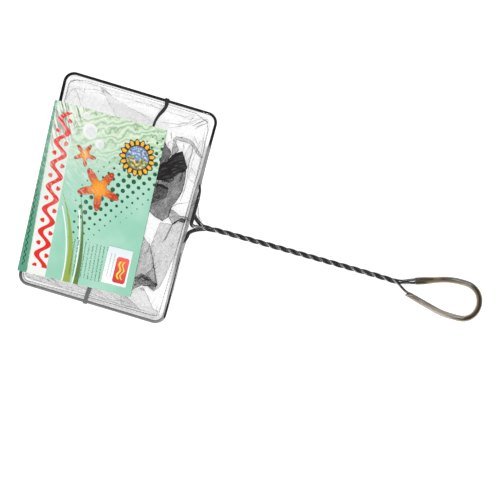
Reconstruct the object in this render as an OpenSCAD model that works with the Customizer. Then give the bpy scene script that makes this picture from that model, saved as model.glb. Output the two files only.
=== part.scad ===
// Aquarium fish net, lying flat: a coated wire hoop with a sewn mesh bag, a handle twisted from
// three strands, a sleeved hanging loop, and the folded header card that an elastic band holds.
// Millimetres. The origin is under the middle of the hoop, on the surface that the net lies on.
// X runs along the handle to the loop, Y across the hoop, Z up.

/* [Hoop] */
// Length of the hoop across the handle, over the covered wire
hoop_length = 254; // [200:2:300]
// Width of the hoop along the handle, over the covered wire
hoop_width = 180; // [150:2:220]
// Outer radius of the hoop's corners
corner_r = 13; // [10:1:24]
// Diameter of the plastic-coated wire
wire_d = 2.8; // [2:0.1:3.2]

/* [Hem and bag] */
// Thickness of the folded mesh in the hem
hem_t = 0.2; // [0.15:0.05:0.4]
// Distance from the hoop's outer edge to the hem's seam
seam_inset = 6.8; // [5:0.1:8.4]
// Diameter of the sewing thread
thread_d = 0.5; // [0.3:0.1:0.8]
// Thickness of the bag where it is pressed flat
bag_t = 1.1; // [0.6:0.1:1.4]
// Distance from the handle's line up to where the wire leaves the hem
slit_above = 50; // [50:1:60]
// Distance from the handle's line down to where the wire leaves the hem
slit_below = 27; // [27:1:50]

/* [Handle] */
// Length of the twisted part
twist_length = 234; // [160:2:340]
// Whole turns that each strand makes along the handle
twist_turns = 6; // [4:1:8]
// Length of the root, where the strands gather from the hoop
root_length = 16; // [13:1:26]
// How far the handle's line lies off the middle of the hoop
handle_off = 5; // [0:1:12]
// Length of the third strand's tail along the hoop
tail_length = 36; // [20:1:38]

/* [Hanging loop] */
// Length of the loop from the end of the twist, on the wire's centreline
loop_length = 100; // [90:1:140]
// Width of the loop, on the wire's centreline
loop_width = 41.5; // [38:0.5:60]
// Distance from the end of the twist to the loop's shoulders
shoulder = 60; // [58:1:70]
// Wall of the vinyl sleeve
sleeve_wall = 0.8; // [0.5:0.1:1.2]
// Room for the wire inside the sleeve's bore
sleeve_play = 2.4; // [2.2:0.1:3]
// Distance from the end of the twist to the sleeve's end on the side with two strands
sleeve_from = 20; // [18:1:24]
// Distance from the end of the twist to the sleeve's other end
sleeve_to = 14; // [12:1:22]
// How far the sleeve's other end lies off the handle's line
sleeve_drop = 9; // [8:0.5:11]

/* [Header card] */
// Length of the card along its spine
card_length = 199; // [150:1:202]
// Width of the folded card over its spine
card_width = 136; // [100:1:140]
// Thickness of the card
card_t = 0.4; // [0.3:0.05:0.8]
// Gap between the hoop's far bar and the card's spine
spine_gap = 4.9; // [4:0.1:8]
// How far the card hangs below the middle of the hoop
card_drop = 12; // [0:1:16]
// Length of the size label
label_length = 43; // [30:1:60]
// Width of the size label
label_width = 29; // [20:1:40]
// Thickness of the size label
label_t = 0.2; // [0.15:0.05:0.3]

/* [Elastic band] */
// Width of the band where it goes round the bars
band_w = 4.6; // [3:0.1:6]
// Width of the band where it is stretched
band_neck_w = 3.2; // [2:0.1:4]
// Thickness of the band
band_t = 1; // [0.6:0.1:1.4]

/* [Hidden] */

// Clearances
hem_gap = 0.1;
strand_gap = 0.08;
bag_gap = 0.3;
band_gap = 0.2;
card_gap = 0.6;
label_gap = 0.12;
thread_gap = 0.02;

// Counts of faces and rings
wire_sides = 10;
sleeve_sides = 12;
thread_sides = 6;
hem_steps = 10;
rings_a_turn = 14;
arc_step = 15;
blend_steps = 7;
card_rows = 6;
panel_steps = 5;

// Levels
wire_r = wire_d / 2;
bar_r = wire_r + hem_gap + hem_t;
hoop_z = card_t + card_gap + band_t + band_gap + bar_r;
bore_r = (wire_d + sleeve_play) / 2;
// The bore's flat faces clear its radius, so its corners stand out by this share
facet_share = 1 / cos(180 / sleeve_sides);
sleeve_r = bore_r * facet_share + sleeve_wall;
loop_z = sleeve_r;
card_free_z = hoop_z + bar_r + band_gap + band_t + band_gap;

// Hoop: shares of its half width and half length at the corners, as hand-bent wire isn't square
corner_shares = [[0.989, 0.984], [-1.071, 1.008], [-0.952, -0.998], [1.016, -1.018]];
hoop_half = [hoop_width / 2 - bar_r, hoop_length / 2 - bar_r];
hoop_corners = [for (c = corner_shares) [c[0] * hoop_half[0], c[1] * hoop_half[1], hoop_z]];
bend_r = corner_r - bar_r;
// The bare wire stands out from the hem by this much beside the handle
bare_shift = 3;
// Each end of the bare stretch eases into the hem over this length, just outside the slit
ease_length = 8;
ease_r = 11;
ease_out = 3;

// Handle
handle_y = -handle_off;
fork_share = 0.08;
lay_turns = twist_turns + fork_share;
pitch = twist_length / lay_turns;
lay_angle = atan(PI * 2 * wire_d / sqrt(3) / pitch);
lay_r = (wire_d / cos(lay_angle) + strand_gap) / sqrt(3);
// The handle sags a little towards its root
root_sag = 1.6;
sag_share = 0.1;
bare_x = near_x(handle_y) + bare_shift;
root_x = bare_x + root_length;
fork_x = root_x + twist_length;
// Angles round the handle's axis at which the strands start at the root
upper_phase = -30;
lower_phase = 210;
third_phase = 90;

// Root: where each strand meets the bar's line, from the handle's line
upper_reach = 12.5;
lower_reach = 13.5;
root_pull = 12.5;
tail_drop = 3;
tail_bend_r = 4;
tail_rise = wire_d + strand_gap;

// Loop
half_loop = loop_width / 2;
shoulder_r = 60;
// The loop's end is rounder at its upper corner than at its lower one
end_skew = 1;
end_flat = 1;
upper_end_r = half_loop + end_skew - end_flat;
lower_end_r = half_loop - end_skew - end_flat;
pair_gap = 1;
pair_play = 0.3;
pair_shift = (wire_d + pair_gap) / 2;
pair_bore_w = pair_shift + wire_r + pair_play;
pair_bore_h = wire_r + pair_play + hem_gap;
lean = bore_r - wire_r - hem_gap;
upper_tip = 41;
lower_tip = 33;
third_tip = 49;
sleeve_slant = 1.6;

// Card: the spine line turns with the card, its ends turn less
card_turn = 3.3;
card_edge_turn = 1.7;
upper_fold = [3.7, 13.5];
lower_fold = [11.8, 8.3];
upper_knee = [0.5, 7.5];
lower_knee = [0.4, 5.6];
panel_crown = 1.5;
label_from_edge = 8;
label_from_end = 9;

// Band: where it crosses the bars, and how far in from them it bends and slips under the card
band_upper_x = 25;
band_lower_x = -4;
slip_upper_x = 20;
slip_lower_x = -2;
slip_upper_in = 33.4;
slip_lower_in = 17.5;
wrap_steps = 6;

// Vector helpers
function lerp(a, b, t) = a + (b - a) * t;
function unit(v) = v / norm(v);
function flat_left(v) = unit([-v[1], v[0], 0]);

// Smooth curve that leaves p along a and reaches q along b
function blend(p, a, q, b, n = blend_steps) = [for (i = [0:n]) let (t = i / n)
    p * (2 * pow(t, 3) - 3 * pow(t, 2) + 1) + a * (pow(t, 3) - 2 * pow(t, 2) + t)
    + q * (3 * pow(t, 2) - 2 * pow(t, 3)) + b * (pow(t, 3) - pow(t, 2))];

// Arc that rounds the corner q between p and n
function corner_arc(p, q, n, r) = let (
    a = unit(p - q),
    b = unit(n - q),
    turn = 180 - acos(max(-1, min(1, a * b))),
    inward = unit(a + b),
    along = unit(b - a),
    centre = q + inward * r / cos(turn / 2),
    steps = max(2, ceil(turn / arc_step)))
    [for (i = [0:steps]) let (t = turn * (i / steps - 1 / 2)) centre + r * (along * sin(t) - inward * cos(t))];

// Route through points, with each inner point rounded to its radius
function rounded(points, radii) = let (last = len(points) - 1) [
    points[0],
    for (i = [1:last - 1]) each corner_arc(points[i - 1], points[i], points[i + 1], radii[i - 1]),
    points[last]];

function reversed(list) = [for (i = [len(list) - 1:-1:0]) list[i]];
function tail(list) = [for (i = [1:len(list) - 1]) list[i]];
function flat_list(rows) = [for (row = rows) each row];

// Direction of a route at point i
function heading(route, i) = let (last = len(route) - 1)
    unit(route[min(last, i + 1)] - route[max(0, i - 1)]);

// Ring of points round a route, with half sizes across and up
function ring(centre, direction, across, up, sides, slant = 0) = let (
    side = flat_left(direction),
    top = cross(direction, side))
    [for (k = [0:sides - 1]) let (a = 360 * k / sides)
        centre + side * across * cos(a) + top * up * sin(a) + direction * slant * cos(a)];

// Solid round rod along a route
module rod(route, r, sides) {
    last = len(route) - 1;
    rings = [for (i = [0:last]) ring(route[i], heading(route, i), r, r, sides)];
    walls = [for (i = [0:last - 1], k = [0:sides - 1]) let (
        a = i * sides + k,
        b = i * sides + (k + 1) % sides)
        each [[a, a + sides, b], [b, a + sides, b + sides]]];
    ends = [for (k = [1:sides - 2]) each [[0, k, k + 1],
        [last * sides, last * sides + k + 1, last * sides + k]]];
    polyhedron(flat_list(rings), concat(walls, ends));
}

// Solid between two grids of points, where the first lies on the side that rows cross columns points to
module skin(over, under, rows_close = false, cols_close = false) {
    rows = len(over);
    cols = len(over[0]);
    count = rows * cols;
    row_end = rows_close ? rows - 1 : rows - 2;
    col_end = cols_close ? cols - 1 : cols - 2;
    faces = [for (i = [0:row_end], j = [0:col_end]) let (
        a = i * cols + j,
        b = i * cols + (j + 1) % cols,
        c = ((i + 1) % rows) * cols + (j + 1) % cols,
        d = ((i + 1) % rows) * cols + j)
        each [[a, b, c], [a, c, d], [count + a, count + c, count + b], [count + a, count + d, count + c]]];
    row_walls = rows_close ? [] : [for (j = [0:col_end]) let (
        a = j,
        b = (j + 1) % cols,
        c = (rows - 1) * cols + j,
        d = (rows - 1) * cols + (j + 1) % cols)
        each [[a, count + a, b], [b, count + a, count + b], [c, d, count + c], [d, count + d, count + c]]];
    col_walls = cols_close ? [] : [for (i = [0:row_end]) let (
        a = i * cols,
        b = ((i + 1) % rows) * cols,
        c = i * cols + cols - 1,
        d = ((i + 1) % rows) * cols + cols - 1)
        each [[a, b, count + a], [b, count + b, count + a], [c, count + c, d], [d, count + c, count + d]]];
    polyhedron(concat(flat_list(over), flat_list(under)), concat(faces, row_walls, col_walls));
}

// Hoop's near bar: its centreline's place along X at a given Y
function near_x(y) = let (a = hoop_corners[0], b = hoop_corners[3])
    lerp(b[0], a[0], (y - b[1]) / (a[1] - b[1]));
function near_point(y) = [near_x(y), y, hoop_z];
slit_upper = near_point(handle_y + slit_above);
slit_lower = near_point(handle_y - slit_below);

// Covered stretch of the hoop, from its upper slit round to its lower one
covered = rounded(concat([slit_upper], hoop_corners, [slit_lower]), [bend_r, bend_r, bend_r, bend_r]);

// Strand of the handle, from the root to the fork
function sag(t) = root_sag * pow(max(0, 1 - t / sag_share), 2);
function strand_point(phase, t) = let (a = phase + 360 * lay_turns * t)
    [root_x + twist_length * t, handle_y - sag(t) + lay_r * cos(a), lerp(hoop_z, loop_z, t) + lay_r * sin(a)];
function strand(phase) = let (n = ceil(rings_a_turn * lay_turns)) [for (i = [0:n]) strand_point(phase, i / n)];
// Slope of a strand against the handle's axis
function strand_slope(phase, t) = let (a = phase + 360 * lay_turns * t, k = 2 * PI * lay_r / pitch)
    [1, -k * sin(a), k * cos(a)];

// Limb of the hoop wire from the root to its slit, up or down the near bar
function limb(phase, way, reach, slit) = let (
    start = [bare_x, handle_y + way * reach, hoop_z],
    knee = near_point(slit[1] - way * ease_out),
    ease = [bare_x, knee[1] - way * ease_length, hoop_z])
    concat(
        blend(strand_point(phase, 0), -root_pull * strand_slope(phase, 0), start, [0, way * root_pull, 0]),
        corner_arc(start, ease, knee, ease_r),
        corner_arc(ease, knee, slit, ease_r));

// Points on the loop, and on its upper and lower legs, at a distance along the handle from the fork
function loop_point(along, across) = [fork_x + along, handle_y + across, loop_z];
upper_leg = [loop_point(0, 0), loop_point(shoulder, half_loop)];
lower_leg = [loop_point(sleeve_to, -sleeve_drop), loop_point(shoulder, -half_loop)];
function leg_heading(leg) = unit(leg[1] - leg[0]);
// A shift moves the point to the left of the leg
function leg_point(leg, along, shift = 0) = let (
    t = (fork_x + along - leg[0][0]) / (leg[1][0] - leg[0][0]))
    lerp(leg[0], leg[1], t) + flat_left(leg_heading(leg)) * shift;

// Strand of the pair, from the fork to its tip in the sleeve
function pair_end(phase, shift, tip, tip_shift) = let (
    mouth = leg_point(upper_leg, sleeve_from, shift),
    pull = sleeve_from)
    concat(
        tail(blend(strand_point(phase, 1), pull * strand_slope(phase, 1), mouth, pull * leg_heading(upper_leg))),
        [leg_point(upper_leg, lower_tip - wire_r, shift), leg_point(upper_leg, tip, tip_shift)]);

hoop_route = concat(
    reversed(pair_end(upper_phase, pair_shift, upper_tip, lean)),
    reversed(strand(upper_phase)),
    tail(limb(upper_phase, 1, upper_reach, slit_upper)),
    tail(covered),
    reversed(tail(limb(lower_phase, -1, lower_reach, slit_lower))),
    strand(lower_phase),
    pair_end(lower_phase, -pair_shift, lower_tip, -pair_shift));

// One wire: its two ends gather into the handle, and its middle is bent to the hoop
module hoop_wire() {
    color([0.08, 0.08, 0.09])
        rod(hoop_route, wire_r, wire_sides);
}

// Third strand's route: tail beside the bar, then the handle, then round the loop in the sleeve
tail_z = hoop_z + tail_rise;
tail_turn = [bare_x + bare_shift / 10, handle_y - tail_drop, tail_z];
tail_tip = tail_turn + [0, tail_length, 0];
tail_start = tail_turn + [tail_bend_r + wire_d / 2, 0, 0];
third_root = concat(
    [tail_tip],
    corner_arc(tail_tip, tail_turn, tail_start, tail_bend_r),
    tail(blend(tail_start, [root_pull, 0, 0], strand_point(third_phase, 0),
        root_pull * strand_slope(third_phase, 0) / 2)));
third_mouth = leg_point(lower_leg, sleeve_to, lean);
third_fork = blend(strand_point(third_phase, 1), sleeve_to * strand_slope(third_phase, 1),
    third_mouth, sleeve_to * leg_heading(lower_leg));
third_loop = rounded([
    third_mouth,
    loop_point(shoulder, -half_loop + lean),
    loop_point(loop_length + lean, -half_loop - lean),
    loop_point(loop_length + lean, half_loop + lean),
    loop_point(shoulder, half_loop + lean),
    leg_point(upper_leg, third_tip, lean)],
    [shoulder_r, lower_end_r + lean, upper_end_r + lean, shoulder_r + lean]);
loop_route = concat(third_root, tail(strand(third_phase)), tail(third_fork), tail(third_loop));

// Third strand of the handle, which goes on alone as the hanging loop
module loop_wire() {
    color([0.08, 0.08, 0.09])
        rod(loop_route, wire_r, wire_sides);
}

sleeve_route = concat([leg_point(upper_leg, sleeve_from), leg_point(upper_leg, lower_tip)], rounded([
    leg_point(upper_leg, upper_tip),
    loop_point(shoulder, half_loop),
    loop_point(loop_length, half_loop),
    loop_point(loop_length, -half_loop),
    loop_point(shoulder, -half_loop),
    lower_leg[0]],
    [shoulder_r, upper_end_r, lower_end_r, shoulder_r]));
// The sleeve is drawn wide over the pair of strands, down to the end of the shorter one
function over_pair(point) = point[0] < fork_x + lower_tip + 1 && point[1] > handle_y;
function sleeve_rings(wall) = let (last = len(sleeve_route) - 1) [for (i = [0:last]) let (
    p = sleeve_route[i],
    wide = over_pair(p),
    across = (wide ? pair_bore_w : bore_r) * facet_share + wall,
    up = (wide ? pair_bore_h : bore_r) * facet_share + wall)
    ring(p, heading(sleeve_route, i), across, up, sleeve_sides, i == last ? sleeve_slant : 0)];

// Translucent vinyl sleeve, drawn over the loop and over the pair's ends
module grip_sleeve() {
    color([0.3, 0.22, 0.16])
        skin(sleeve_rings(0), sleeve_rings(sleeve_wall), cols_close = true);
}

// Hem: a strip of mesh folded round the wire, with both layers meeting at the seam
flange_w = seam_inset - bar_r;
function hem_row(i, r, half_gap) = let (
    d = heading(covered, i),
    side = flat_left(d),
    start = asin(half_gap / r))
    concat(
        [covered[i] + side * flange_w + [0, 0, half_gap]],
        [for (k = [0:hem_steps]) let (a = start + (360 - 2 * start) * k / hem_steps)
            covered[i] + side * r * cos(a) + [0, 0, r * sin(a)]],
        [covered[i] + side * flange_w - [0, 0, half_gap]]);
hem_rows = len(covered) - 1;
// Empty stretch of the hem that runs on past the handle, between the slits
pocket_t = 2 * hem_t + 2 * hem_gap + hem_t;
pocket_w = flange_w - bar_r + hem_gap;
pocket_lap = 3;

module bag_hem() {
    color([0.2, 0.2, 0.21]) {
        skin([for (i = [0:hem_rows]) hem_row(i, bar_r - hem_t, hem_gap / 2)],
            [for (i = [0:hem_rows]) hem_row(i, bar_r, hem_t + hem_gap / 2)]);
        translate([0, 0, hoop_z - pocket_t / 2])
            linear_extrude(pocket_t)
                polygon([
                    [slit_upper[0] - flange_w, slit_upper[1] + pocket_lap],
                    [slit_upper[0] - flange_w + pocket_w, slit_upper[1] + pocket_lap],
                    [slit_lower[0] - flange_w + pocket_w, slit_lower[1] - pocket_lap],
                    [slit_lower[0] - flange_w, slit_lower[1] - pocket_lap]]);
    }
}

// Mesh bag, pressed flat in the hoop and sewn to the hem all round
bag_inset = seam_inset - bar_r + bag_gap;
bag_corners = [for (c = corner_shares)
    [c[0] * hoop_half[0] - sign(c[0]) * bag_inset, c[1] * hoop_half[1] - sign(c[1]) * bag_inset, 0]];
bag_r = bend_r - bag_inset + bag_gap;
bag_last = len(bag_corners) - 1;
bag_outline = [for (i = [0:bag_last]) each corner_arc(
    bag_corners[(i + bag_last) % len(bag_corners)], bag_corners[i],
    bag_corners[(i + 1) % len(bag_corners)], bag_r)];
bag_z = hoop_z - bar_r + bag_gap / 2;

module net_bag() {
    color([0.35, 0.35, 0.36, 0.5])
        translate([0, 0, bag_z])
            linear_extrude(bag_t)
                polygon([for (p = bag_outline) [p[0], p[1]]]);
}

// Row of stitches that closes the hem, as one thread along the seam
seam_route = [for (i = [1:hem_rows - 1]) covered[i] + flat_left(heading(covered, i)) * (flange_w - thread_d)
    + [0, 0, hem_t + hem_gap / 2 + thread_d / 2 + thread_gap]];

module hem_thread() {
    color([0.15, 0.15, 0.16])
        rod(seam_route, thread_d / 2, thread_sides);
}

// Card: a sheet folded round the far bar, drawn as rows from its upper end to its lower one
spine_mid = [-hoop_width / 2 - spine_gap, -card_drop];
function spine_point(v) = spine_mid
    + card_length * (1 / 2 - v) * [-sin(card_turn), cos(card_turn)];
function card_point(v, p) = let (s = spine_point(v))
    [s[0] + p[0] * cos(card_edge_turn), s[1] + p[0] * sin(card_edge_turn), p[1]];
function panel_profile(v) = let (
    fold = lerp(upper_fold, lower_fold, v),
    free = [card_width, card_free_z + card_t / 2])
    [for (k = [0:panel_steps]) let (t = k / panel_steps) lerp(fold, free, t) + [0, panel_crown * sin(180 * t)]];
function card_profile(v) = concat(
    [[card_width, card_t / 2], [card_t, card_t / 2]],
    [lerp(upper_knee, lower_knee, v)],
    panel_profile(v));
// Profile moved sideways by a distance
function shifted(profile, d) = let (last = len(profile) - 1) [for (i = [0:last]) let (
    before = unit(profile[max(i, 1)] - profile[max(i, 1) - 1]),
    after = unit(profile[min(i, last - 1) + 1] - profile[min(i, last - 1)]),
    mean = unit(before + after))
    profile[i] + [-mean[1], mean[0]] * d / (mean * after)];
function card_grid(d) = [for (i = [0:card_rows]) let (v = i / card_rows)
    [for (p = shifted(card_profile(v), d)) card_point(v, p)]];

module header_card() {
    color([0.55, 0.82, 0.68])
        skin(card_grid(card_t / 2), card_grid(-card_t / 2));
}

// Label on the card's front panel, near its free edge and lower end
function panel_point(v, x) = let (
    fold = lerp(upper_fold, lower_fold, v),
    t = (x - fold[0]) / (card_width - fold[0]),
    k = min(panel_steps - 1, floor(t * panel_steps)),
    profile = panel_profile(v))
    lerp(profile[k], profile[k + 1], t * panel_steps - k);
label_v = [1 - (label_from_end + label_length) / card_length, 1 - label_from_end / card_length];
label_x = [card_width - label_from_edge - label_width, card_width - label_from_edge];
label_steps = 4;
function label_grid(rise) = [for (i = [0:label_steps]) let (v = lerp(label_v[0], label_v[1], i / label_steps))
    [for (j = [0:label_steps]) let (x = lerp(label_x[0], label_x[1], j / label_steps))
        card_point(v, panel_point(v, x)) + [0, 0, card_t / 2 + rise]]];

module size_label() {
    color([0.93, 0.93, 0.92])
        skin(label_grid(label_gap + label_t), label_grid(label_gap));
}

// Elastic band: a stretched ring round both bars, its upper run under the card's front panel
function bar_y(a, b, x) = lerp(a[1], b[1], (x - a[0]) / (b[0] - a[0]));
band_upper = [band_upper_x, bar_y(hoop_corners[0], hoop_corners[1], band_upper_x), hoop_z];
band_lower = [band_lower_x, bar_y(hoop_corners[2], hoop_corners[3], band_lower_x), hoop_z];
wrap_r = bar_r + band_gap + band_t / 2;
slip_upper = [slip_upper_x, band_upper[1] - slip_upper_in, hoop_z];
slip_lower = [slip_lower_x, band_lower[1] + slip_lower_in, hoop_z];
// Each station is a centre, its way out of the loop, and the band's half width as a vector
function wrap(centre, side, first) = [for (i = [0:wrap_steps]) let (a = first - 180 * i / wrap_steps)
    [centre, cross([0, 0, 1], side) * -cos(a) + [0, 0, sin(a)], side * band_w / 2]];
neck = flat_left(slip_upper - slip_lower) * band_neck_w / 2;
upper_bar = unit(hoop_corners[1] - hoop_corners[0]);
lower_bar = unit(hoop_corners[2] - hoop_corners[3]);
band_stations = concat(
    [[slip_lower, [0, 0, 1], neck], [slip_upper, [0, 0, 1], neck]],
    wrap(band_upper, upper_bar, 90),
    wrap(band_lower, lower_bar, -90));
function band_row(station, r) = [for (way = [-1, 1]) station[0] + station[1] * r + station[2] * way];

module elastic_band() {
    color([0.13, 0.14, 0.13])
        skin([for (s = band_stations) band_row(s, wrap_r + band_t / 2)],
            [for (s = band_stations) band_row(s, wrap_r - band_t / 2)], rows_close = true);
}

hoop_wire();
loop_wire();
grip_sleeve();
bag_hem();
net_bag();
hem_thread();
header_card();
size_label();
elastic_band();
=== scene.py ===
# Aquarium fish net, lying flat on a white light table with its header card on top.
import math
import random
import bpy
import bmesh
from mathutils import Matrix, Vector, geometry, kdtree, noise


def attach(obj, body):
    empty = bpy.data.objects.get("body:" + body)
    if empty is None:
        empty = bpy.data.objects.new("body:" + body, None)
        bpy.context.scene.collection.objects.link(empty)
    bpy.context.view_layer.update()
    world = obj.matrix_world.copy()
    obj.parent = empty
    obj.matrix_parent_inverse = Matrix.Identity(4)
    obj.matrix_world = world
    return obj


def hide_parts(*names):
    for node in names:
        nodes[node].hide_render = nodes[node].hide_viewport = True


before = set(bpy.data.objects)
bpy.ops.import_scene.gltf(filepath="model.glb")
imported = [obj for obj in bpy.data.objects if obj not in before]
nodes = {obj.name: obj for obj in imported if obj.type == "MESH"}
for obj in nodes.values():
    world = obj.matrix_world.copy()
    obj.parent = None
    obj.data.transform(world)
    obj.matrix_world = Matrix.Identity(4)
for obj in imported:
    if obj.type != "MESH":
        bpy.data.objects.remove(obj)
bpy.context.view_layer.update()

scene = bpy.context.scene
mm = 0.001


# Table, camera and light
# The net lies on a plain white table that glows a little, so that it carries hardly any shadow. It is
# seen from straight above, with soft light from the near side and a weaker one from the upper right.
scene.view_settings.view_transform = "Standard"
scene.cycles.transparent_max_bounces = 64
scene.cycles.max_bounces = 16

view_turn = math.radians(15.76)
view_middle = Vector((166.36, -16.69, 3)) * mm
view_height = 2.4
view_width = 584.5 * mm
sensor_width = 36
bpy.ops.object.camera_add(location=view_middle + Vector((0, 0, view_height)), rotation=(0, 0, view_turn))
camera = bpy.context.active_object
camera.data.sensor_width = sensor_width
camera.data.lens = sensor_width * view_height / view_width
camera.data.clip_end = 20
scene.camera = camera

table_size, table_top = 8, -0.2 * mm
bpy.ops.mesh.primitive_plane_add(size=table_size, location=(0.2, 0, table_top))
table = bpy.context.active_object
table.name = "table"

world = bpy.data.worlds.new("room")
scene.world = world
world.use_nodes = True
world.node_tree.nodes["Background"].inputs["Color"].default_value = (1, 1, 1, 1)
world.node_tree.nodes["Background"].inputs["Strength"].default_value = 0.27


def soft_sun(side, height, spread, strength):
    """Soft light from a side, in degrees from the right of the view, at a height in degrees."""
    bpy.ops.object.light_add(type="SUN")
    lamp = bpy.context.active_object
    a, h = math.radians(side) + view_turn, math.radians(height)
    to_lamp = Vector((math.cos(a) * math.cos(h), math.sin(a) * math.cos(h), math.sin(h)))
    lamp.rotation_euler = (-to_lamp).to_track_quat("-Z", "Y").to_euler()
    lamp.data.energy = strength
    lamp.data.angle = math.radians(spread)


soft_sun(side=-107, height=36, spread=14, strength=2.3)
soft_sun(side=58, height=62, spread=16, strength=1.4)


class Value:
    """A shader value that adds, multiplies and compares like a number."""

    def __init__(self, paint, socket):
        self.paint, self.socket = paint, socket

    def math(self, operation, *others):
        return self.paint.node("ShaderNodeMath", {"operation": operation}, dict(enumerate([self, *others])))

    def __add__(self, other): return self.math("ADD", other)
    def __sub__(self, other): return self.math("SUBTRACT", other)
    def __mul__(self, other): return self.math("MULTIPLY", other)
    def __truediv__(self, other): return self.math("DIVIDE", other)
    def __pow__(self, other): return self.math("POWER", other)
    def __mod__(self, other): return self.math("FLOORED_MODULO", other)
    def __neg__(self): return self.math("MULTIPLY", -1)
    def __radd__(self, other): return self.math("ADD", other)
    def __rmul__(self, other): return self.math("MULTIPLY", other)
    def __rsub__(self, other): return self.math("MULTIPLY", -1).math("ADD", other)
    def __gt__(self, other): return self.math("GREATER_THAN", other)
    def __lt__(self, other): return self.math("LESS_THAN", other)

    def least(self, other): return self.math("MINIMUM", other)
    def most(self, other): return self.math("MAXIMUM", other)
    def sin(self): return self.math("SINE")
    def abs(self): return self.math("ABSOLUTE")
    def floor(self): return self.math("FLOOR")

    def ramp(self, low, high):
        """0 at low and 1 at high, smooth between them."""
        return self.paint.node("ShaderNodeMapRange", {"interpolation_type": "SMOOTHSTEP"},
            {"Value": self, "From Min": low, "From Max": high})


class Paint:
    """A material: a Principled shader, and the nodes that feed it."""

    def __init__(self, name, **constants):
        self.material = bpy.data.materials.new(name)
        self.material.use_nodes = True
        self.tree = self.material.node_tree
        self.shader = self.tree.nodes["Principled BSDF"]
        self.set(constants)

    def set(self, values):
        for name, value in values.items():
            self.put(self.shader.inputs[name.replace("_", " ")], value)

    def put(self, socket, value):
        if isinstance(value, Value):
            self.tree.links.new(value.socket, socket)
        elif socket.type == "RGBA":
            socket.default_value = (*value[:3], 1)
        else:
            socket.default_value = value

    def node(self, kind, settings=None, values=None, out=0):
        made = self.tree.nodes.new(kind)
        for name, setting in (settings or {}).items():
            setattr(made, name, setting)
        for name, value in (values or {}).items():
            self.put(made.inputs[name], value)
        return Value(self, made.outputs[out])

    def place(self, kind="Object"):
        """A point's coordinates in millimetres; the UV maps here hold decimetres."""
        made = self.tree.nodes.new("ShaderNodeSeparateXYZ")
        self.put(made.inputs[0], self.node("ShaderNodeTexCoord", out=kind))
        return [Value(self, o) * (1000 if kind == "Object" else 100) for o in made.outputs]

    def point(self, x, y, z=0.0):
        return self.node("ShaderNodeCombineXYZ", values={0: x, 1: y, 2: z})

    def noise(self, scale, detail=2, at=None, roughness=0.5):
        """Noise with so many waves a metre on Object coordinates, or in each unit of the given ones."""
        at = at or self.node("ShaderNodeTexCoord", out="Object")
        return self.node("ShaderNodeTexNoise", values={
            "Vector": at, "Scale": scale, "Detail": detail, "Roughness": roughness})

    def attribute(self, name):
        return self.node("ShaderNodeAttribute", {"attribute_name": name}, out="Fac")

    def mix(self, low, high, share):
        """Colour between low and high."""
        return self.node("ShaderNodeMix", {"data_type": "RGBA"}, {0: share, 6: low, 7: high}, out=2)

    def bump(self, height, strength, distance):
        self.set({"Normal": self.node("ShaderNodeBump", values={
            "Height": height, "Strength": strength, "Distance": distance})})

    def on(self, piece):
        """Put the material on the piece."""
        piece.data.materials.clear()
        piece.data.materials.append(self.material)


white = Paint("white_table", Roughness=0.9, Specular_IOR_Level=0.0,
    Emission_Color=(1, 1, 1), Emission_Strength=0.85)
white.set({"Base Color": white.mix((0.44, 0.44, 0.44), (0.5, 0.5, 0.5), white.noise(3))})
table.data.materials.append(white.material)


# Hoop wire and the handle's two long strands
# Soft steel wire with a satin black plastic coat, bent to the hoop by hand; both of its ends are
# twisted into the handle. The coat has a fine grain and catches dust.
def rounded_copy(node, name, fatten):
    """Copy of a faceted CAD solid with its facets rounded off, at its full thickness."""
    bpy.ops.object.select_all(action="DESELECT")
    nodes[node].select_set(True)
    bpy.context.view_layer.objects.active = nodes[node]
    bpy.ops.object.duplicate()
    piece = bpy.context.active_object
    piece.name = piece.data.name = name
    piece.parent = None
    for key in list(piece.keys()):
        del piece[key]
    bpy.ops.object.mode_set(mode="EDIT")
    bpy.ops.mesh.select_all(action="SELECT")
    bpy.ops.mesh.remove_doubles(threshold=1e-6)
    same_facet = math.radians(60)
    bpy.ops.mesh.tris_convert_to_quads(face_threshold=same_facet, shape_threshold=same_facet)
    bpy.ops.transform.shrink_fatten(value=fatten)
    bpy.ops.object.mode_set(mode="OBJECT")
    modifier = piece.modifiers.new("rounded", "SUBSURF")
    modifier.levels = modifier.render_levels = 2
    bpy.ops.object.modifier_apply(modifier=modifier.name)
    bpy.ops.object.shade_smooth()
    return piece


# A ring of ten points draws in by about a fifteenth when its facets are rounded off, and the coat adds a
# little to the drawn wire
wire_r, coat_t = 1.4, 0.12
wire_fatten = (wire_r / 15 + coat_t) * mm
hoop_wire = rounded_copy("hoop_wire", "hoop_wire_round", wire_fatten)


def share(value):
    """The value, kept between 0 and 1."""
    return max(0.0, min(1.0, value))


def bent(x, y):
    """How far the wire was bent by hand from the drawn one, at a place in millimetres."""
    far_bar_out = 1.6 * share(-x / 94.6) * share((y + 125) / 251)
    on_near_bar = share((x - 60) / 28) * share((abs(y + 5) - 42) / 15) * share((100 - x) / 5)
    near_bar_out = (0.4 + 0.9 * share((-y - 40) / 80)) * on_near_bar
    side_bars_out = 0.45 * share(y / 120) - 0.5 * share(-y / 120)
    loop_sag = 1.4 * share((x - 290) / 70) ** 2
    return Vector((near_bar_out - far_bar_out, side_bars_out - loop_sag, 0))


def bend_wire(piece, root_coat):
    """Bend the piece, and thicken its coat where the strands were bent together beside the hoop."""
    outward = [vertex.normal.copy() for vertex in piece.data.vertices]
    for vertex, normal in zip(piece.data.vertices, outward):
        x, y, _ = vertex.co / mm
        at_root = share(min((x - 89) / 2, (116 - x) / 8, (34 - y) / 10))
        vertex.co += (bent(x, y) + normal * root_coat * at_root) * mm


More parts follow.
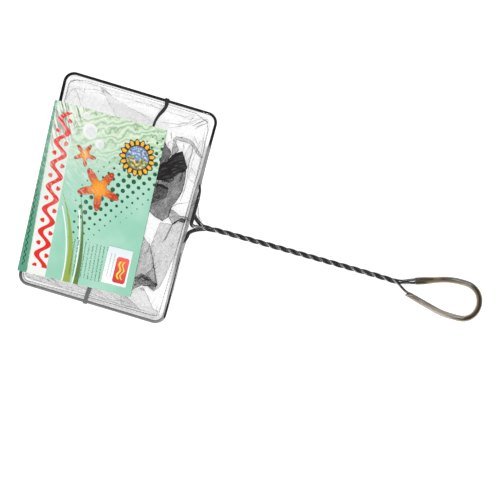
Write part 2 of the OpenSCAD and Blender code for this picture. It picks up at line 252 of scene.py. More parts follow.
bend_wire(hoop_wire, root_coat=0.85)
coat = Paint("black_plastic_coat", IOR=1.5, Specular_IOR_Level=1.0)
grain = coat.noise(900, 3)
dust = coat.noise(60, 4).ramp(0.5, 0.8)
coat.set({"Base Color": coat.mix((0.006, 0.004, 0.005), (0.024, 0.018, 0.019), dust * 0.6),
    "Roughness": 0.22 + grain * 0.06 + dust * 0.1})
coat.bump(grain, 0.15, 0.05 * mm)
coat.on(hoop_wire)
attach(hoop_wire, "root")
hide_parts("hoop_wire")


# Third strand
# The same coated wire: its tail lies along the bar, it is twisted with the others, and it goes on
# alone as the hanging loop, where it lies against one side of the sleeve's bore.
loop_wire = rounded_copy("loop_wire", "loop_wire_round", wire_fatten)
bend_wire(loop_wire, root_coat=0.75)
coat.on(loop_wire)
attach(loop_wire, "root")
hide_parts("loop_wire")


# Sleeve
# Smoky see-through vinyl tube with a thin wall. It is pushed over the hanging loop and over the other
# two strands, and covers their cut ends.
sleeve_fatten = 0.16 * mm
sleeve = rounded_copy("grip_sleeve", "grip_sleeve_round", sleeve_fatten)
bend_wire(sleeve, root_coat=0)
vinyl = Paint("smoky_vinyl", IOR=1.2, Transmission_Weight=1.0, Coat_Weight=1.0, Coat_Roughness=0.1)
film = vinyl.noise(150, 3)
vinyl.set({"Base Color": vinyl.mix((0.37, 0.31, 0.22), (0.47, 0.41, 0.31), film),
    "Roughness": 0.36 + film * 0.05})
vinyl.on(sleeve)
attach(sleeve, "root")
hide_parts("grip_sleeve")


# Hem
# The bag's edge: a strip of black mesh, folded round the wire and sewn to itself. It is tight and black
# along the top, slacker along the near and lower bars, where it carries a painted grey sheen for light
# glancing off the glossy wire under the sheer mesh, and flat where the wire leaves it.
hoop_z = 3.9
corners = [(87.33, 123.3), (-94.57, 126.3), (-84.06, -125.05), (89.71, -127.55)]
bend_r = 11.3
slits = 41, -22
slit_ease = 5
route_step = 0.9
# Place on the hoop: seam's distance inward, slack outward, painted grey sheen, dark line through that
# sheen, and cover of the flange and of the seam
hem_looks = [
    ((-94.5, 98), (4.8, 0.2, 0, 0, 0.14, 0.5)), ((-95.5, 112), (5.2, 0.2, 0, 0, 0.14, 0.5)),
    ((-92.5, 122.7), (8.6, 0.1, 0, 0, 0.12, 0.45)), ((-82, 126.2), (7.5, 0, 0, 0, 0.12, 0.45)),
    ((-74, 126), (4.7, 0, 0, 0, 0.14, 0.5)), ((-54, 125.7), (4.2, 0, 0, 0, 0.14, 0.5)),
    ((-40, 125.4), (3.5, 0, 0, 0, 0.14, 0.5)), ((20, 124.5), (3.6, 0, 0, 0, 0.14, 0.5)),
    ((45, 124), (4.3, 0, 0, 0, 0.2, 0.8)), ((62, 123.7), (4.3, 0, 0, 0, 0.16, 0.8)),
    ((75, 123.5), (9.4, 0, 0, 0, 0.08, 0.6)), ((84, 120), (10.1, 0, 0, 0, 0.08, 0.6)),
    ((87.4, 112), (9.5, 0, 0, 0, 0.06, 0.6)), ((87.6, 105), (6.5, 0, 0, 0, 0.06, 0.6)),
    ((87.7, 90), (6.2, 0, 0.02, 0, 0.08, 0.6)), ((87.8, 84), (5.2, 0.3, 0.47, 0, 0.45, 0.6)),
    ((88, 60), (4.8, 0.4, 0.5, 0, 0.45, 0.6)), ((88.2, 50), (4.8, 0.7, 0.5, 0, 0.42, 0.4)),
    ((88.3, 42), (4.8, 1.2, 0.4, 0, 0.45, 0.4)), ((88.6, 20), (5, 0.3, 0.15, 0, 0.5, 0.45)),
    ((88.8, -10), (5, 0.3, 0.15, 0, 0.5, 0.45)), ((88.9, -23), (5, 1.9, 0.4, 0.2, 0.45, 0.4)),
    ((89, -33), (5, 1.7, 0.7, 0.45, 0.42, 0.35)), ((89.1, -55), (5, 1.2, 0.72, 0.62, 0.42, 0.3)),
    ((89.3, -78), (5.4, 1.3, 0.86, 0.1, 0.3, 0.1)), ((89.5, -100), (6, 1.2, 0.86, 0, 0.15, 0.1)),
    ((89.6, -114), (6.6, 0.5, 0.6, 0, 0.2, 0.3)), ((80, -127.3), (7, 0.2, 0.35, 0, 0.4, 0.5)),
    ((60, -127), (6.3, 0, 0.31, 0, 0.4, 0.6)), ((0, -126.2), (5.6, 0, 0.33, 0, 0.45, 0.6)),
    ((-50, -125.5), (4.1, 0, 0.35, 0, 0.57, 0.65)), ((-76, -125.1), (3.8, 0, 0.3, 0, 0.5, 0.6)),
    ((-85, -105), (3.6, 0, 0, 0, 0.2, 0.4)),
]


def round_route(points, radius, step):
    """Closed route through the points, with its corners rounded, as points a step apart."""
    route = []
    for i, corner in enumerate(points):
        q = Vector(corner)
        a = (Vector(points[i - 1]) - q).normalized()
        b = (Vector(points[(i + 1) % len(points)]) - q).normalized()
        turn = math.pi - a.angle(b)
        centre = q + (a + b).normalized() * radius / math.cos(turn / 2)
        along, inward = (b - a).normalized(), (a + b).normalized()
        n = max(6, int(radius * turn / step))
        route += [centre + radius * (along * math.sin(t) - inward * math.cos(t))
            for t in (turn * (k / n - 0.5) for k in range(n + 1))]
    even = []
    for i, p in enumerate(route):
        q = route[(i + 1) % len(route)]
        n = max(1, round((q - p).length / step))
        even += [p.lerp(q, k / n) for k in range(n)]
    return even


hem_route = [p + bent(*p).xy for p in round_route(corners, bend_r, route_step)]


def across(route, i):
    """Unit vector along a closed route at point i, and the one to its left."""
    d = (route[(i + 1) % len(route)] - route[i - 1]).normalized()
    return d, Vector((-d.y, d.x))


def covered(p):
    """1 where the hem holds the wire, and 0 beside the handle."""
    if p.x < 80:
        return 1.0
    return share(max(p.y - slits[0], slits[1] - p.y) / slit_ease + 1)


def blend(a, b, t):
    """Numbers between a and b, at the share t of the way."""
    return [x + (y - x) * t for x, y in zip(a, b)]


def around_route(route, looks):
    """The looks at every point of the route, blended between the places where they are given."""
    spots = []
    for p, values in looks:
        nearest = min(range(len(route)), key=lambda i: (route[i] - Vector(p)).length)
        spots.append((nearest, values))
    spots.sort()
    out = []
    for i in range(len(route)):
        k = sum(1 for s, _ in spots if s <= i)
        (a, low), (b, high) = spots[k - 1], spots[k % len(spots)]
        out.append(blend(low, high, ((i - a) % len(route)) / max(1, (b - a) % len(route))))
    return out


def wave(*place, scale=1.0, seed=0.0):
    """Smooth noise between -1 and 1."""
    p = list(place) + [0.0] * (3 - len(place))
    return noise.noise(Vector(p) / scale + Vector((seed, seed * 1.7, seed * 0.3)))


def finished(name, mesh, uvs=None, **shades):
    """Smooth object from a bmesh, with a UV map and named values at its points."""
    for face in mesh.faces:
        face.smooth = True
    data = bpy.data.meshes.new(name)
    mesh.to_mesh(data)
    mesh.free()
    for shade, values in shades.items():
        data.attributes.new(shade, "FLOAT", "POINT").data.foreach_set("value", values)
    if uvs:
        layer = data.uv_layers.new(name="cloth")
        layer.data.foreach_set("uv", [c for loop in data.loops for c in uvs[loop.vertex_index]])
    piece = bpy.data.objects.new(name, data)
    scene.collection.objects.link(piece)
    return piece


def tuck(at):
    """How far the sewn edge stands up, at a distance along the hoop."""
    return 0.25 * wave(at, scale=3.1) + 0.15 * wave(at, scale=1.3, seed=4)


hem_r, ply_half, lap = 1.62, 0.12, 0.9
tube_steps, tube_opening = 18, 14
hem_mesh = bmesh.new()
hem_rows, hem_uv, hem_cover, hem_painted_sheen, hem_crush = [], [], [], [], []
looks = around_route(hem_route, hem_looks)
for i, p in enumerate(hem_route):
    at = i * route_step
    _, side = across(hem_route, i)
    seam_in, slack, painted_sheen, dark_line, flange_cover, seam_cover = looks[i]
    w = covered(p)
    stand = tuck(at)
    wear_and_sheen = 1 + 0.5 * wave(at, scale=6, seed=8)
    edge = seam_in + lap + 0.3 * wave(at, scale=2, seed=3)
    swell = slack * (1.15 + 0.4 * wave(at, scale=8, seed=12))
    closed = 1.85 + swell * 0.45 * w
    flange = []
    for x in (edge, seam_in + 0.4, seam_in - 0.1, seam_in - 0.7, closed + (seam_in - closed) * 0.4, closed):
        at_seam = max(0.0, 1 - abs(x - seam_in - 0.15) / 0.45)
        sheer = flange_cover * (0.6 - 0.25 * (x - closed) / (edge - closed))
        flange.append((x, sheer + max(0.0, seam_cover / 2 - sheer) * at_seam * wear_and_sheen))
    profile = [(x, -ply_half, cover, 0) for x, cover in flange]  # inward, up, cover, tone
    for k in range(tube_steps + 1):
        t = k / tube_steps
        a = math.radians(tube_opening + (360 - 2 * tube_opening) * t)
        r = hem_r + 0.07 * wave(at / 2, k * 0.8, seed=7)
        round_x = (r + swell * (0.85 if math.cos(a) < 0 else 0.45)) * math.cos(a)
        round_z = -r * math.sin(a)
        flat_x, flat_z = 2.5 - 3.8 * math.sin(math.pi * t), -0.28 * math.cos(math.pi * t)
        x = flat_x + (round_x - flat_x) * w
        # Painted sheen: the tube's colour is lightened to grey where light would glance off the glossy wire under the
        # sheer mesh, and kept dark along a line over the wire.
        line_here = dark_line * max(0.0, 1 - abs(x - 0.6) / 1.5)
        tone = painted_sheen * (1 - line_here) * (1 + 0.25 * wave(at, k, scale=2.5, seed=1))
        profile.append((x, flat_z + (round_z - flat_z) * w, (0.97 - 0.1 * painted_sheen) * w + 0.5 * (1 - w), tone))
    profile += [(x, ply_half, cover, 0) for x, cover in reversed(flange)]
    row, length = [], 0.0
    for k, (x, z, cover, tone) in enumerate(profile):
        lift = stand * share((x - 1.5) / 3)
        row.append(hem_mesh.verts.new(Vector((*(p + side * x), hoop_z + z + lift)) * mm))
        length += math.dist((x, z), profile[k - 1][:2]) if k else 0
        hem_uv.append((at / 100, length / 100))
        hem_cover.append(max(0.0, min(0.97, cover)))
        hem_painted_sheen.append(tone)
        hem_crush.append(0.35)
    hem_rows.append(row)
for i, a in enumerate(hem_rows):
    b = hem_rows[(i + 1) % len(hem_rows)]
    for j in range(len(a) - 1):
        hem_mesh.faces.new((a[j], a[j + 1], b[j + 1], b[j]))
hem = finished("bag_hem_cloth", hem_mesh, hem_uv, cover=hem_cover, tone=hem_painted_sheen, crush=hem_crush)

# Fine knitted mesh: dark threads in three directions, closer together where the cloth is gathered
knit = Paint("black_knitted_mesh", Roughness=0.55, Specular_IOR_Level=0.15)
u, v, _ = knit.place("UV")
cover, tone, crush = (knit.attribute(name) for name in ("cover", "tone", "crush"))
cloth_at = knit.point(u, v)
strayed = knit.noise(0.16, 2, at=cloth_at) * 1.1
thread_pitch = 1.3
gap = None
for turn in (4, 64, 124):
    c, s = math.cos(math.radians(turn)) / thread_pitch, math.sin(math.radians(turn)) / thread_pitch
    off = ((u * c + v * s + strayed) % 1 - 0.5).abs()
    gap = off if gap is None else gap.least(off)
threads = 1 - gap.ramp(0.02, 0.2)
blotch = knit.noise(0.3, 4, at=cloth_at, roughness=0.7).ramp(0.3, 0.7)
pulled = knit.noise(1, 3, at=knit.point(u * 0.05, v * 0.42), roughness=0.6)
dark_line = 1 - (pulled - 0.46).abs().ramp(0.004, 0.03)
light_line = 1 - (pulled - 0.57).abs().ramp(0.004, 0.022)
openness = 1 - cover
alpha = cover * (1 + openness * (threads * 1.3 + blotch * 0.8 - 1.1))
alpha = alpha + crush * openness * (dark_line * (0.14 + cover * 0.7) - light_line * cover * 0.8)
# Painted highlight: thin grey streaks along the folds of the crumpled, dense cloth. These and the hem's painted sheen
# lighten the threads' colour.
gleam = 1 - (pulled - 0.56).abs().ramp(0.004, 0.045)
shade = tone + crush * cover ** 4 * gleam * 0.1
knit.set({"Alpha": alpha.least(1).most(0.0),
    "Base Color": knit.mix((0.006, 0.0045, 0.005), (0.62, 0.61, 0.61), shade.least(1).most(0))})
knit.on(hem)
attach(hem, "root")
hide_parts("bag_hem")


# Bag
# A deep bag of the same sheer mesh, pressed flat inside the hoop under the card. It lies in two
# smooth layers with loose pleats, and is crumpled into a dark bunch beside the card.
pleats = [  # outline in millimetres, cover, height, how crumpled, way its threads run in degrees
    ([(-53.5, 118.5), (-48, 116.5), (-38.5, 112.5), (-29.5, 110), (-13.5, 105), (-0.5, 103), (15.5, 97.5), (24, 85),
        (6.5, 77.5), (-19, 82.5), (-31, 95), (-36.5, 101), (-43, 107.5)], 0.07, 0.3, 0.3, -22),
    ([(36.5, 79), (40.5, 73), (45, 70.5), (47.5, 66), (46, 58.5), (43, 55.5), (36.5, 49.5), (26.5, 49.5),
        (26.5, 71)], 0.79, 1.2, 1, 60),
    ([(27.5, 46), (38, 51.5), (45, 57), (48, 64), (52.5, 69), (59, 73), (62.5, 68), (70, 55.5), (68, 50), (61.5, 47),
        (56, 39.5), (49, 34), (39, 32), (30.5, 27.5)], 1.2, 2.6, 0.9, 35),
    ([(32.5, 29), (49, 34), (56, 39.5), (61.5, 47), (69.5, 53), (71.5, 41.5), (72, 27), (69, 16.5), (65, 8),
        (64.5, 0.5), (64, -5.5), (58.5, -12), (49.5, -10), (42, -6), (28.5, -1), (26, 16.5)], 0.7, 1.6, 0.6, 70),
    ([(27.5, 25.5), (40.5, 30), (55, 26), (55.5, 16), (49.5, 11), (41.5, 5), (31, -0.5)], 0.5, 2.0, 0.9, 12),
    ([(41, 29), (47, 29.5), (55, 27), (54.5, 24.5), (46.5, 26), (40.5, 26.5)], 0.85, 2.4, 0.3, 5),
    ([(48, 64), (46.5, 74.5), (45, 83.5), (47.5, 88), (53.5, 88.5), (59, 89), (67, 87.5), (73, 83), (78.5, 77.5),
        (84.5, 72), (82.5, 71), (75, 75), (70.5, 80), (65.5, 83.5), (59.5, 84), (53.5, 83.5), (49.5, 84), (49.5, 80),
        (52, 76), (55, 73), (52.5, 69)], 0.36, 1.6, 0.7, -30),
    ([(40, 78.5), (45, 83.5), (48, 82), (55, 73), (52.5, 69), (49, 64), (45, 70.5), (40.5, 73)], 0.03, 1.2, 0.8, 60),
    ([(63, 75.5), (66.5, 85), (69.5, 82), (71, 68), (70, 55.5), (62.5, 68)], 0.11, 1.0, 0.8, 80),
    ([(63, 2.5), (66, 4.5), (77, -0.5), (86.5, 0.5), (90, -3), (78, -4), (71, -12.5), (64, -5.5)], 0.5, 1.0, 0.8, 10),
    ([(70, -13.5), (73, -8), (79, -3), (85, -3.5), (84, -7.5), (76.5, -7.5), (73, -11.5)], 0.85, 1.4, 0.8, 30),
    ([(56.5, -14), (71, -12.5), (84, -3), (84.5, -25.5), (84, -44.5), (82, -54.5), (80, -71.5), (77, -86), (73, -93),
        (61.5, -61), (53, -44)], 0.24, 0.6, 0.45, 60),
    ([(27.5, -39), (42, -35), (48, -39.5), (53, -44), (61.5, -61), (70, -78), (73.5, -87), (64.5, -85.5), (54, -81.5),
        (44.5, -86.5), (30, -92), (18.5, -58.5)], 0.39, 1.0, 0.7, 64),
    ([(56.5, -77), (61.5, -69.5), (63, -63), (70, -78), (73.5, -85.5), (64, -82.5)], 0.2, 1.3, 0.6, -60),
    ([(32.5, -91), (43.5, -84.5), (48.5, -80.5), (52.5, -77), (63.5, -81), (73, -84.5), (72, -93.5), (66.5, -92.5),
        (62.5, -90), (55.5, -91), (46.5, -99), (33.5, -104)], 0.52, 1.9, 1, 20),
    ([(33, -103), (46.5, -99), (58, -92.5), (65, -100), (76, -113), (83, -115), (82, -119.5), (63, -119.5),
        (38.5, -119)], 0.15, 0.6, 0.4, -40),
    ([(-79.5, -116.5), (-79, -95), (-54, -98), (-33, -100), (3, -102), (33, -104), (45.5, -110), (53.5, -113.5),
        (63, -119.5), (48, -119.5), (14, -119.5), (-34.5, -119), (-71, -119)], 0.18, 0.7, 0.9, -4),
    ([(46.6, -85.9), (53.9, -79.6), (63.8, -82.3), (72.1, -86), (68.9, -91.8), (59.4, -88.4), (51.6, -90.6),
        (47.7, -94.1)], 0.42, 2.3, 0.8, 25),
    # The last two are faint strips that darken the cloth along the top bar and the near bar, beside the hem.
    ([(-90, 120.5), (0, 119.3), (62, 118), (60, 111), (0, 114), (-60, 114), (-84, 108), (-89, 92)], 0.03, 0.2, 0.5, 0),
    ([(82, 92), (75, 90), (72.5, 62), (74, 44), (83, 40)], 0.05, 0.3, 0.6, 80),
]
creases = [  # line in millimetres, width, cover
    ([(-54, 119.5), (-47, 117), (-37.5, 112.5)], 1.2, 0.5),
    ([(25, 98.5), (46, 102), (58.5, 108), (72, 117)], 0.9, 0.45),
    ([(62, 104.5), (70, 111.5), (77, 117)], 1.3, 0.6),
    ([(65.5, 101.5), (72, 108.5), (78, 112.5)], 1.2, 0.6),
    ([(68.5, 86.5), (70.5, 75), (70, 63), (73, 44), (73.5, 30), (72.5, 16)], 1.1, 0.5),
    ([(72.5, 58.5), (79, 53), (83.5, 47.5), (82.5, 59.5), (82, 70.5)], 0.9, 0.45),
    ([(-81.5, 110), (-75.5, 102), (-69, 91.5)], 1.4, 0.3),
    ([(71, -12.5), (69.5, -21), (68, -29), (65, -35.5)], 2.0, 0.6),
    ([(53, -44), (61.5, -61), (70.5, -80.5)], 0.9, 0.5),
    ([(58, -92.5), (65.5, -101), (76.5, -114)], 0.8, 0.35),
    ([(36, 94.5), (48.5, 100.5), (65.5, 110)], 1.8, 0.25),
    ([(77.5, 106), (79, 92), (81, 72.5)], 0.9, 0.4),
    ([(83, 18), (69, 11.5), (63.5, 5)], 1.4, 0.5),
    ([(-13.5, 105), (12.5, 100), (30, 89)], 0.9, 0.25),
    ([(83, 15), (83, 3), (83, -3)], 1.2, 0.45),
]
# Loose folds: how many, middle of the area, its half-size, way and spread in degrees, length, width,
# cover, height
folds = [
    (26, (50, 47), (17, 15), 40, 100, (8, 20), (0.8, 3.2), 0.75, 2.9),
    (12, (49, 12), (16, 15), 60, 90, (8, 22), (0.8, 3), 0.3, 2.2),
    (9, (57, 80), (18, 10), -20, 120, (5, 14), (0.6, 2.2), 0.35, 1.8),
    (16, (53, -88), (15, 8), 20, 110, (6, 16), (0.8, 3), 0.5, 2.3),
    (10, (46, -62), (16, 18), 62, 50, (8, 24), (0.7, 2.4), 0.28, 1.3),
    (12, (71, -45), (11, 34), 70, 70, (8, 26), (0.6, 2), 0.14, 0.8),
    (16, (10, -111), (78, 7), -3, 30, (12, 40), (0.5, 1.3), 0.4, 0.8),
    (14, (-60, -110), (18, 9), 10, 130, (4, 16), (0.5, 1.4), 0.5, 0.8),
    (14, (-78, 108), (9, 11), 50, 150, (5, 16), (0.5, 1.2), 0.28, 0.6),
    (10, (-30, 116), (48, 4), -3, 22, (10, 34), (0.4, 1), 0.3, 0.6),
    (12, (62, 112), (20, 7), -8, 60, (8, 24), (0.5, 1.1), 0.34, 0.6),
    (12, (77, 60), (7, 36), 82, 40, (8, 30), (0.5, 1.1), 0.3, 0.6),
    (8, (78, -90), (6, 26), 76, 26, (8, 26), (0.4, 1), 0.2, 0.6),
    (7, (0, 100), (80, 20), -18, 60, (16, 40), (0.4, 0.9), 0.14, 0.5),
]


def even_outline(outline, step, sway):
    """Outline with points a step apart, drawn in and out a little as cloth is."""
    out = []
    for i, a in enumerate(outline):
        a, b = Vector(a), Vector(outline[(i + 1) % len(outline)])
        n = max(1, round((b - a).length / step))
        for k in range(n):
            p = a.lerp(b, k / n)
            out.append(p + Vector((wave(p.x, p.y, scale=5, seed=3), wave(p.x, p.y, scale=5, seed=9))) * sway)
    return out


def crossings(ring, y):
    """Where a level line at y goes in and out of the ring."""
    hits = []
    for i, a in enumerate(ring):
        b = ring[i - 1]
        if (a.y > y) != (b.y > y):
            hits.append((b.x - a.x) * (y - a.y) / (b.y - a.y) + a.x)
    return sorted(hits)


bag = bmesh.new()
bag_uv, bag_cover, bag_tone, bag_crush = [], [], [], []
bag_floor, layer_rise = 2.5, 0.35
row_gap = 0.866  # of a step, between rows of even triangles


def lay(outline, step, height, cover, relief, crumple=0.0, heading=0, rim=0.0, sway=0.0):
    """One layer of the bag: the outline filled with small triangles, waved up and down."""
    ring = even_outline(outline, step, sway)
    edge = kdtree.KDTree(len(ring) * 4)
    for i, a in enumerate(ring):
        for k in range(4):
            edge.insert((*a.lerp(ring[(i + 1) % len(ring)], k / 4), 0), i * 4 + k)
    edge.balance()
    points = list(ring)
    level, odd = min(p.y for p in ring) + step / 2, 0
    while level < max(p.y for p in ring):
        hits = crossings(ring, level)
        for left, right in zip(hits[::2], hits[1::2]):
            x = (left // step + (1.5 if odd else 1.0)) * step
            while x < right:
                if edge.find((x, level, 0))[2] > step * 0.45:
                    points.append(Vector((x, level)))
                x += step
        level += step * row_gap
        odd = not odd
    rim_edges = [(i, (i + 1) % len(ring)) for i in range(len(ring))]
    flat, _, faces, *_ = geometry.delaunay_2d_cdt(points, rim_edges, [], 1, 1e-5)
    c, s = math.cos(math.radians(heading)), math.sin(math.radians(heading))
    made = []
    for p in flat:
        away = edge.find((p.x, p.y, 0))[2]
        lift = relief * (0.5 + 0.5 * wave(p.x, p.y, scale=9, seed=height * 5)) * min(1.0, 0.2 + away / 5)
        made.append(bag.verts.new(Vector((p.x, p.y, bag_floor + height * layer_rise + lift)) * mm))
        bag_uv.append(((p.x * c + p.y * s) / 100 + height, (p.y * c - p.x * s) / 100 - height))
        shade = cover * (1 + 0.2 * wave(p.x, p.y, scale=8, seed=height * 11 + 1))
        at_rim = rim * max(0.0, 1 - away / 0.9) * (1 + wave(p.x, p.y, scale=6, seed=height))
        bag_cover.append(min(0.99, shade + at_rim))
        bag_tone.append(0.005)
        bag_crush.append(crumple)
    for face in faces:
        if len(set(face)) == 3:
            bag.faces.new([made[k] for k in face])


bag_corners = [(82.4, 118.4), (-91.3, 121.3), (-79.2, -120.1), (84.5, -122.4)]
bag_outline = [tuple(p) for p in round_route(bag_corners, 9, 3)]
lay(bag_outline, 3.0, height=0.0, cover=0.111, relief=0.6, crumple=0.12, heading=12)
lay(bag_outline, 3.0, height=0.7, cover=0.111, relief=0.8, crumple=0.12, heading=-31)
for outline, cover, height, crumple, heading in pleats:
    lay(outline, 1.5, 1.0 + height, cover, 0.3 + height * 0.5, crumple, heading, rim=0.3, sway=0.5)
for line, width, cover in creases:
    a = [Vector(p) for p in line]
    left, right = [], []
    for i, p in enumerate(a):
        d = (a[min(i + 1, len(a) - 1)] - a[max(i - 1, 0)]).normalized()
        half = Vector((-d.y, d.x)) * width / 2 * (1.0 if 0 < i < len(a) - 1 else 0.35)
        left.append(tuple(p + half))
        right.append(tuple(p - half))
    lay(left + right[::-1], 1.3, 2.2, cover, relief=0.4, crumple=0.2, sway=0.2)
chance = random.Random(7)
for count, middle, half, heading, spread, lengths, widths, cover, height in folds:
    for _ in range(count):
        p = Vector([m + h * chance.uniform(-1, 1) for m, h in zip(middle, half)])
        way = math.radians(heading + spread * chance.uniform(-0.5, 0.5))
        d, n = Vector((math.cos(way), math.sin(way))), Vector((-math.sin(way), math.cos(way)))
        long, wide = chance.uniform(*lengths) / 2, chance.uniform(*widths) / 2
        bow, top = chance.uniform(-0.12, 0.12), chance.uniform(0.2, 0.8)
        spine = [p + d * long * t + n * long * bow * (1 - t * t) * 2 for t in (-1, -0.4, 0.3, 1)]
        kite = [spine[0], spine[1] + n * wide * top, spine[2] + n * wide, spine[3],
            spine[2] - n * wide * top, spine[1] - n * wide]
        # Folds that would reach past the hem are left out
        if all(-84 < q.x < 81.5 - q.y * 0.008 and -118.5 < q.y < 116.5 for q in kite):
            lay([tuple(q) for q in kite], 2.0, 1.2 + height, cover * chance.uniform(0.5, 1.2), relief=0.5,
                crumple=0.5, heading=math.degrees(way), rim=0.1)
net = finished("net_bag_cloth", bag, bag_uv, cover=bag_cover, tone=bag_tone, crush=bag_crush)
knit.on(net)
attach(net, "root")
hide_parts("net_bag")


# Seam
# Spun black thread: one row of short stitches that closes the hem, and a loose loop of its end by the
# handle.
stitch, gap_between, thread_r, thread_sides = 3.0, 0.12, 0.25, 6
bpy.ops.object.select_all(action="DESELECT")
bpy.ops.mesh.primitive_uv_sphere_add(segments=thread_sides, ring_count=6, radius=thread_r * mm)
one = bpy.context.active_object
bpy.ops.object.mode_set(mode="EDIT")
bpy.ops.mesh.select_all(action="SELECT")
bpy.ops.transform.resize(value=(1, 1, stitch / 2 / thread_r))
bpy.ops.object.mode_set(mode="OBJECT")
for vertex in one.data.vertices:
    vertex.co.x += 0.12 * mm * math.cos(math.pi * vertex.co.z / (stitch * mm))
seam = bmesh.new()
walked, start = 0.0, 0
for i, p in enumerate(hem_route):
    walked += (hem_route[(i + 1) % len(hem_route)] - p).length
    if walked < stitch + gap_between:
        continue
    walked = 0.0
    d, side = across(hem_route, i)
    middle = p + side * (looks[i][0] + 0.15 + 0.1 * wave(i, scale=3, seed=5))
    x_axis, z_axis = Vector((0, 0, 1)), Vector((d.x, d.y, 0.0))
    turn = Matrix((x_axis, z_axis.cross(x_axis), z_axis)).transposed().to_4x4()
    place = Matrix.Translation(Vector((*middle, hoop_z + 0.2 + tuck(i * route_step))) * mm)
    seam.from_mesh(one.data)
    seam.verts.ensure_lookup_table()
    bmesh.ops.transform(seam, matrix=place @ turn, verts=seam.verts[start:])
    start = len(seam.verts)
bpy.data.objects.remove(one, do_unlink=True)
loose_r = 0.24
loose_end = [(86.5, 13.8, 4.3), (90.2, 19.5, 5.6), (93.6, 17.8, 5.4), (95.2, 12.4, 4.6), (96.4, 7.6, 4.2),
    (99.2, 3.6, 4.6), (101.9, 1.4, 3.2), (102.6, -0.8, 2.2), (100.6, 0.6, 1.6), (98.0, 4.2, 1.2),
    (96.2, 9.4, 0.6), (94.8, 14.6, 0.4)]


def smooth_line(points, parts):
    """Rounded line through the points, so many parts between each pair."""
    out = []
    for i in range(len(points) - 1):
        a, b, c, d = (Vector(points[max(0, min(len(points) - 1, k))]) for k in (i - 1, i, i + 1, i + 2))
        for k in range(parts):
            t = k / parts
            out.append(0.5 * (2 * b + (c - a) * t + (2 * a - 5 * b + 4 * c - d) * t * t
                + (3 * b - a - 3 * c + d) * t ** 3))
    return out + [Vector(points[-1])]


line = smooth_line(loose_end, 6)
angles = [k * math.pi / (thread_sides / 2) for k in range(thread_sides)]
rings = []
for i, p in enumerate(line):
    d = (line[min(i + 1, len(line) - 1)] - line[max(i - 1, 0)]).normalized()
    a = d.cross(Vector((0.3, 0.1, 1))).normalized()
    b = d.cross(a)
    rings.append([seam.verts.new((p + (a * math.cos(t) + b * math.sin(t)) * loose_r) * mm) for t in angles])
for a, b in zip(rings, rings[1:]):
    for k in range(thread_sides):
        after = (k + 1) % thread_sides
        seam.faces.new((a[k], b[k], b[after], a[after]))
seam.faces.new(rings[0])
seam.faces.new(rings[-1][::-1])
bmesh.ops.recalc_face_normals(seam, faces=seam.faces)
stitches = finished("hem_thread_stitches", seam)
spun = Paint("spun_thread", Roughness=0.8)
spun.set({"Base Color": spun.mix((0.02, 0.012, 0.01), (0.07, 0.05, 0.045), spun.noise(1500, 2))})
spun.on(stitches)
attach(stitches, "root")
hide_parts("hem_thread")


# Header card
# One printed sheet of coated board, folded round the hoop's far bar: a back panel on the table, a
# curved spine and a front panel over the bag. The print is a mint ground with sea motifs.
card_length, card_width, card_t = 199, 136, 0.4
fold_longer, fold_higher = 4.8, 0.5  # the fold side, against the free edge
spine_middle = Vector((-94.9, -12))
card_turn, edge_turn = math.radians(3.3), math.radians(1.7)
fold_ends = (3.7, 13.5), (11.8, 8.3)  # out and up, at the upper edge and at the lower one
knee_ends = (0.5, 7.5), (0.4, 5.6)
back_steps, panel_steps = 14, 40
free_z, panel_bow = 7.2, 1.5


def card_line(v):
    """The card from the back panel's free edge to the front panel's, and the front panel's length."""
    fold, knee = blend(*fold_ends, v), blend(*knee_ends, v)
    back = [(card_width * (1 - k / back_steps), 0.2) for k in range(back_steps)]
    bend = [(1.6, 0.2), (0.35, 0.35), (0.2, 1.4), (0.25, 3.2), blend(knee, (0.3, 3.2), 0.3),
        blend(knee, fold, 0.12), blend(knee, fold, 0.5), blend(knee, fold, 0.86)]
    panel = []
    for k in range(1, panel_steps + 1):
        t = k / panel_steps
        x, z = blend(fold, (card_width, free_z), t)
        panel.append((x, z + panel_bow * math.sin(math.pi * t)))
    return back + bend + [blend(fold, panel[0], 0.12)] + panel, math.dist(fold, (card_width, free_z)) + 0.06


def even_line(line, count):
    """So many points along a line, with their distances from its end."""
    lengths = [0.0]
    for a, b in zip(line, line[1:]):
        lengths.append(lengths[-1] + math.dist(a, b))
    out, k = [], 0
    for i in range(count):
        s = lengths[-1] * i / (count - 1)
        while k < len(line) - 2 and lengths[k + 1] < s:
            k += 1
        t = (s - lengths[k]) / max(1e-9, lengths[k + 1] - lengths[k])
        out.append((*blend(line[k], line[k + 1], min(1.0, t)), lengths[-1] - s))
    return out


card_rows, card_steps = 60, 240
bpy.ops.object.select_all(action="DESELECT")
bpy.ops.mesh.primitive_grid_add(x_subdivisions=card_steps - 1, y_subdivisions=card_rows - 1, size=1)
card = bpy.context.active_object
card.name = card.data.name = "header_card_print"
print_at = []
along = Vector((-math.sin(card_turn), math.cos(card_turn)))
outward = Vector((math.cos(edge_turn), math.sin(edge_turn)))
for i in range(card_rows):
    v = i / (card_rows - 1)
    outline, panel_length = card_line(v)
    for j, (x, z, to_edge) in enumerate(even_line(outline, card_steps)):
        vertex = card.data.vertices[i * card_steps + j]
        ripple = 0 if z < 1 else 0.25 * wave(x, v * 190, scale=45, seed=5) * min(1.0, x / 30)
        longer = (1 - x / card_width) * ((0.5 - v) * fold_longer + fold_higher)
        place = spine_middle + (card_length * (0.5 - v) + longer) * along + x * outward
        vertex.co = Vector((*place, z + ripple)) * mm
        print_at.append(((panel_length - to_edge) / 100, v * card_length / 100))
layer = card.data.uv_layers.active or card.data.uv_layers.new(name="print")
layer.data.foreach_set("uv", [c for loop in card.data.loops for c in print_at[loop.vertex_index]])
bpy.ops.object.mode_set(mode="EDIT")
bpy.ops.mesh.select_all(action="SELECT")
bpy.ops.mesh.flip_normals()
